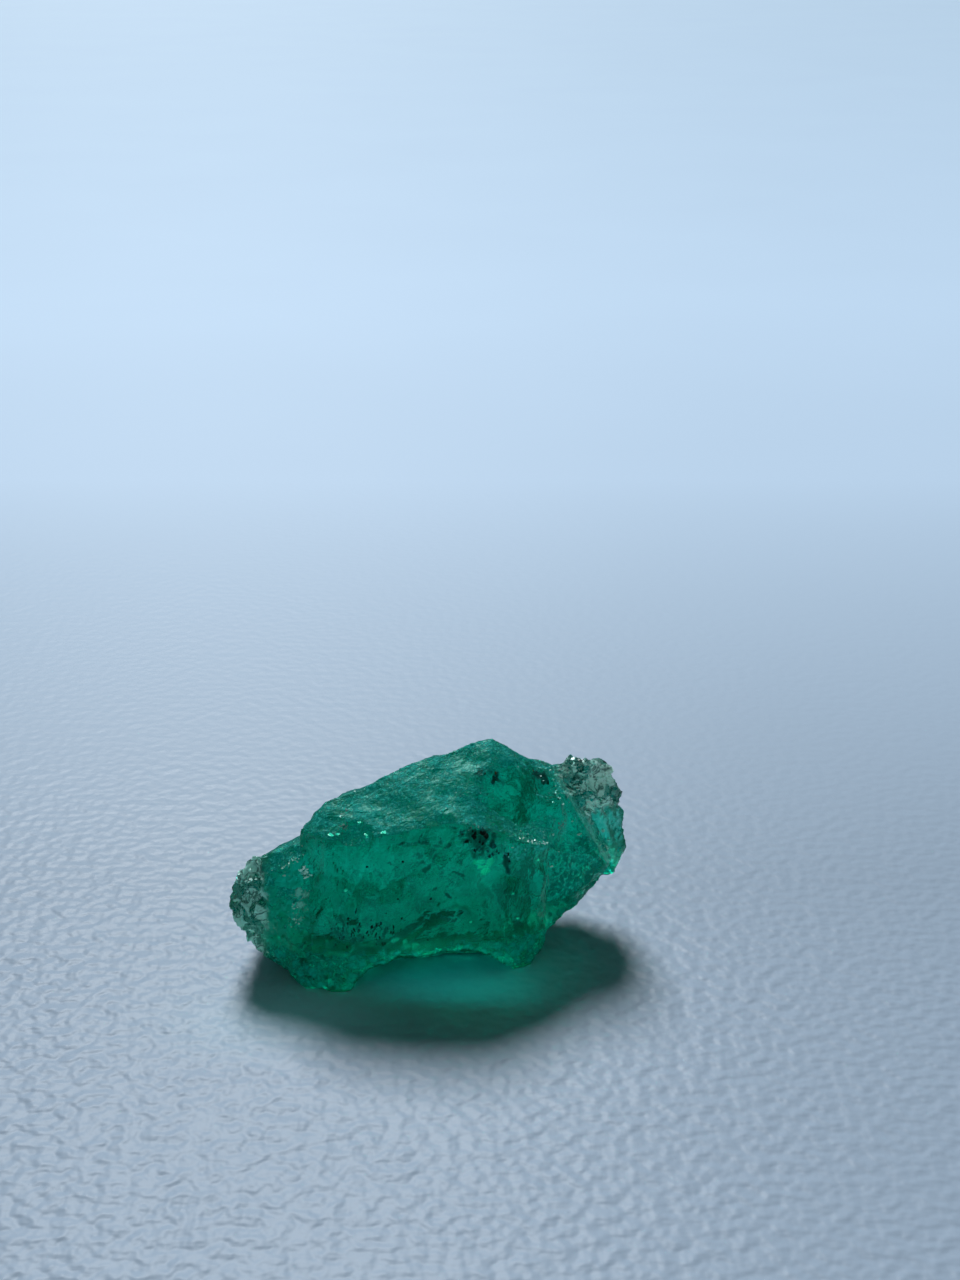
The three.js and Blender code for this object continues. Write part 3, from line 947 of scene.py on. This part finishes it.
class EMERALD_OT_pale_grains(bpy.types.Operator):
    """Sprinkles the pale and pinkish mineral grains in the seams and on the ledge"""
    bl_idname = "emerald.pale_grains"
    bl_label = "Pale grains"

    def execute(self, context):
        dice = random.Random(37)
        tree = skin_tree()
        lumps = [shaped_grain(seed) for seed in (5, 6, 7, 8)]
        groups = (("pale_grains", PALE_GRAINS, (0.10, 0.52, 0.45), (0.50, 0.92, 0.84)),
                  ("pink_grains", PINK_GRAINS, (0.06, 0.26, 0.22), (0.24, 0.40, 0.35)))
        for name, patches, dark, light in groups:
            placed = []
            for middle, reach, count, smallest, largest in patches:
                for spot, normal in strewn(dice, tree, middle, reach, count, 0.45):
                    width = mostly_small(dice, smallest, largest)
                    turn = spun_on(normal, dice)
                    size = sized(width, width, width * 0.6)
                    placed.append((dice.choice(lumps), sunk(spot, normal, width * 0.15) @ turn @ size))
            deliver(join_shapes(name, placed), grain_material(name, dark, light, 0.45))
        return {"FINISHED"}


# ---- the stage

# Places are in metres, angles in degrees, and the lens and its sensor in mm.
FLOOR_DROP = 0.00002
KEY_PLACE = (-0.09, 0.52, 0.50)
KEY_WIDTH = 20
KEY_TINT = (0.93, 0.97, 1.0)
FILL_PLACE = (0.10, -0.85, 0.10)
FILL_TARGET = (0, 0, 0.005)
FILL_SIZE = 0.5
FILL_TINT = (0.75, 1.0, 0.97)
# The light the stone gathers on the floor, green in front of its arch and paler below its left end:
# name, place, target, share of the power and tint.
GLOWS = (
    ("gathered_light", (0.0010, -0.0054, 0.0023), (0.0012, -0.0029, 0), 1.0, (0.0, 1.0, 0.72)),
    ("pale_end_light", (-0.0066, -0.0078, 0.0036), (-0.0066, -0.0062, 0), 0.6, (0.32, 1.0, 0.78)),
)
GLOW_LENGTH = 0.0074
GLOW_WIDTH = 0.0012
GLOW_SPREAD = 130
SKY_TINT = (0.48, 0.95, 0.86, 1.0)
SEEN_SKY = (0.55, 0.68, 0.86, 1.0)
CAMERA_PLACE = (0.002185, -0.070473, 0.043662)
CAMERA_DIP = 22.42
LENS = 50
SENSOR_WIDTH = 36


def floor_material(settings):
    """A pale floor with painted light: its colour brightens away from the viewer, with a fine grain that the
    key light rakes.
    """
    material, tree, shader, _ = new_material("pale_floor")
    place = object_place(tree)
    sides = add_node(tree, "ShaderNodeSeparateXYZ", {0: place}).outputs
    away = sides["Y"]
    uneven = spread(tree, wander(tree, place, 30.0, 2.0), 0.0, 1.0, 0.98, 1.02)
    # Painted light: the colour grows lighter away from the viewer, where the light from behind the stone
    # falls stronger.
    rise = spread(tree, away, 0.005, 0.070, 1.0, 1.82)
    further = spread(tree, away, 0.06, 0.15, 0.0, 0.22, interpolation_type="SMOOTHSTEP")
    tone = maths(tree, "MULTIPLY", uneven, maths(tree, "ADD", rise, further))
    scaled = {0: tuple(settings.floor_colour), "Scale": tone}
    base = add_node(tree, "ShaderNodeVectorMath", scaled, operation="SCALE").outputs[0]

    # The grain is deepest in front of the stone and on the left, and weakens further away.
    near = spread(tree, away, -0.004, 0.020, 0.85, 0.20)
    distant = spread(tree, away, 0.02, 0.08, 1.0, 0.2)
    raking = spread(tree, sides["X"], -0.018, 0.02, 1.15, 0.65)
    depth = maths(tree, "MULTIPLY", maths(tree, "MULTIPLY", near, distant), raking)
    grain = maths(tree, "MULTIPLY", wander(tree, place, 1700.0, 0.6), depth)
    feed(tree, shader, {"Base Color": base, "Normal": bumped(tree, grain, 0.5, 0.00030),
                        "Roughness": 0.36, "Specular IOR Level": 0.06})
    return material


def add_area_light(name, place, target, size, power, tint):
    """A lamp with a face of the given size, turned to its target."""
    data = bpy.data.lights.new(name, "AREA")
    data.shape = "DISK"
    data.size = size
    data.energy = power
    data.color = tint
    lamp = new_object(name, data)
    lamp.location = place
    lamp.rotation_euler = (Vector(target) - Vector(place)).to_track_quat("-Z", "Y").to_euler()
    return lamp


def add_key_light(settings):
    """The main light, high behind the stone and a little to the left, as wide as a near window."""
    data = bpy.data.lights.new("key", "SUN")
    data.energy = settings.key_strength
    data.angle = math.radians(KEY_WIDTH)
    data.color = KEY_TINT
    lamp = new_object("key", data)
    lamp.location = KEY_PLACE
    lamp.rotation_euler = Vector(KEY_PLACE).to_track_quat("Z", "Y").to_euler()


def add_fill_light(settings, pieces):
    """The broad dim light in front, which falls on the stone's pieces only."""
    fill = add_area_light("fill", FILL_PLACE, FILL_TARGET, FILL_SIZE, settings.fill_power, FILL_TINT)
    fill.visible_glossy = False
    fill.visible_transmission = False
    lit = bpy.data.collections.new("lit_by_fill")
    for piece in pieces:
        lit.objects.link(piece)
    fill.light_linking.receiver_collection = lit


def add_glows(settings):
    """The hidden lamps of the light that the stone gathers on the floor."""
    for name, place, target, share, tint in GLOWS:
        glow = add_area_light(name, place, target, GLOW_LENGTH, share * settings.glow_power, tint)
        glow.data.shape = "ELLIPSE"
        glow.data.size_y = GLOW_WIDTH
        glow.data.spread = math.radians(GLOW_SPREAD)
        glow.visible_camera = False
        glow.visible_glossy = False
        glow.visible_transmission = False


def add_sky(scene, settings):
    """An even light all around, stronger behind the stone, and a plain pale backdrop."""
    world = bpy.data.worlds.new("studio")
    scene.world = world
    world.use_nodes = True
    sky = world.node_tree
    toward = add_node(sky, "ShaderNodeTexCoord").outputs["Generated"]
    behind = add_node(sky, "ShaderNodeSeparateXYZ", {0: toward}).outputs["Y"]
    strength = spread(sky, behind, -0.6, 0.8, 0.15 * settings.sky_strength, 2.0 * settings.sky_strength)
    even = sky.nodes["Background"]
    feed(sky, even, {"Color": SKY_TINT, "Strength": strength})
    seen = add_node(sky, "ShaderNodeBackground", {"Color": SEEN_SKY, "Strength": 1.0})
    straight = add_node(sky, "ShaderNodeLightPath").outputs["Is Camera Ray"]
    mixed = add_node(sky, "ShaderNodeMixShader", {0: straight, 1: even.outputs[0], 2: seen.outputs[0]})
    feed(sky, sky.nodes["World Output"], {"Surface": mixed.outputs[0]})


def add_camera(scene):
    """The camera in front of the stone, looking a little down on it."""
    data = bpy.data.cameras.new("camera")
    data.lens = LENS
    data.sensor_width = SENSOR_WIDTH
    data.clip_start = 0.001
    data.clip_end = 10
    camera = new_object("camera", data)
    camera.location = CAMERA_PLACE
    camera.rotation_euler = (math.radians(90 - CAMERA_DIP), 0, 0)
    scene.camera = camera


class EMERALD_OT_stage(bpy.types.Operator):
    """Makes the floor, the soft lights and the camera"""
    bl_idname = "emerald.stage"
    bl_label = "Stage"

    def execute(self, context):
        settings = context.scene.emerald_stage
        scene = context.scene
        bpy.ops.object.select_all(action="DESELECT")
        bpy.ops.mesh.primitive_circle_add(vertices=96, radius=settings.floor_radius, fill_type="NGON")
        floor = context.object
        floor.name = "floor"
        floor.location.z = -FLOOR_DROP
        floor.data.materials.append(floor_material(settings))

        add_key_light(settings)
        pieces = [piece for piece in scene.objects if piece.type == "MESH" and piece is not floor]
        add_fill_light(settings, pieces)
        add_glows(settings)
        add_sky(scene, settings)
        add_camera(scene)
        scene.view_settings.view_transform = "Standard"
        scene.cycles.max_bounces = 24
        scene.cycles.transmission_bounces = 20
        scene.cycles.glossy_bounces = 8
        scene.cycles.sample_clamp_indirect = 0
        scene.cycles.blur_glossy = 0.5
        return {"FINISHED"}


# ---- panel and registration

class EMERALD_PT_panel(bpy.types.Panel):
    """Lists the steps in the sidebar of the 3D view"""
    bl_idname = "EMERALD_PT_panel"
    bl_label = "Raw emerald"
    bl_space_type = "VIEW_3D"
    bl_region_type = "UI"
    bl_category = "Emerald"

    def draw(self, context):
        for kind in OPERATORS:
            self.layout.operator(kind.bl_idname)


SETTINGS = {"emerald_crystal": CrystalSettings, "emerald_stage": StageSettings}
OPERATORS = (EMERALD_OT_crystal, EMERALD_OT_crust, EMERALD_OT_dark_grains, EMERALD_OT_bright_flakes,
             EMERALD_OT_pale_grains, EMERALD_OT_stage)


def register():
    for kind in (*SETTINGS.values(), *OPERATORS, EMERALD_PT_panel):
        bpy.utils.register_class(kind)
    for name, kind in SETTINGS.items():
        setattr(bpy.types.Scene, name, PointerProperty(type=kind))


def unregister():
    for name in SETTINGS:
        delattr(bpy.types.Scene, name)
    for kind in reversed((*SETTINGS.values(), *OPERATORS, EMERALD_PT_panel)):
        bpy.utils.unregister_class(kind)


def main():
    register()
    bpy.ops.emerald.crystal()
    bpy.ops.emerald.crust()
    bpy.ops.emerald.dark_grains()
    bpy.ops.emerald.bright_flakes()
    bpy.ops.emerald.pale_grains()
    bpy.ops.emerald.stage()


if __name__ == "__main__":
    main()
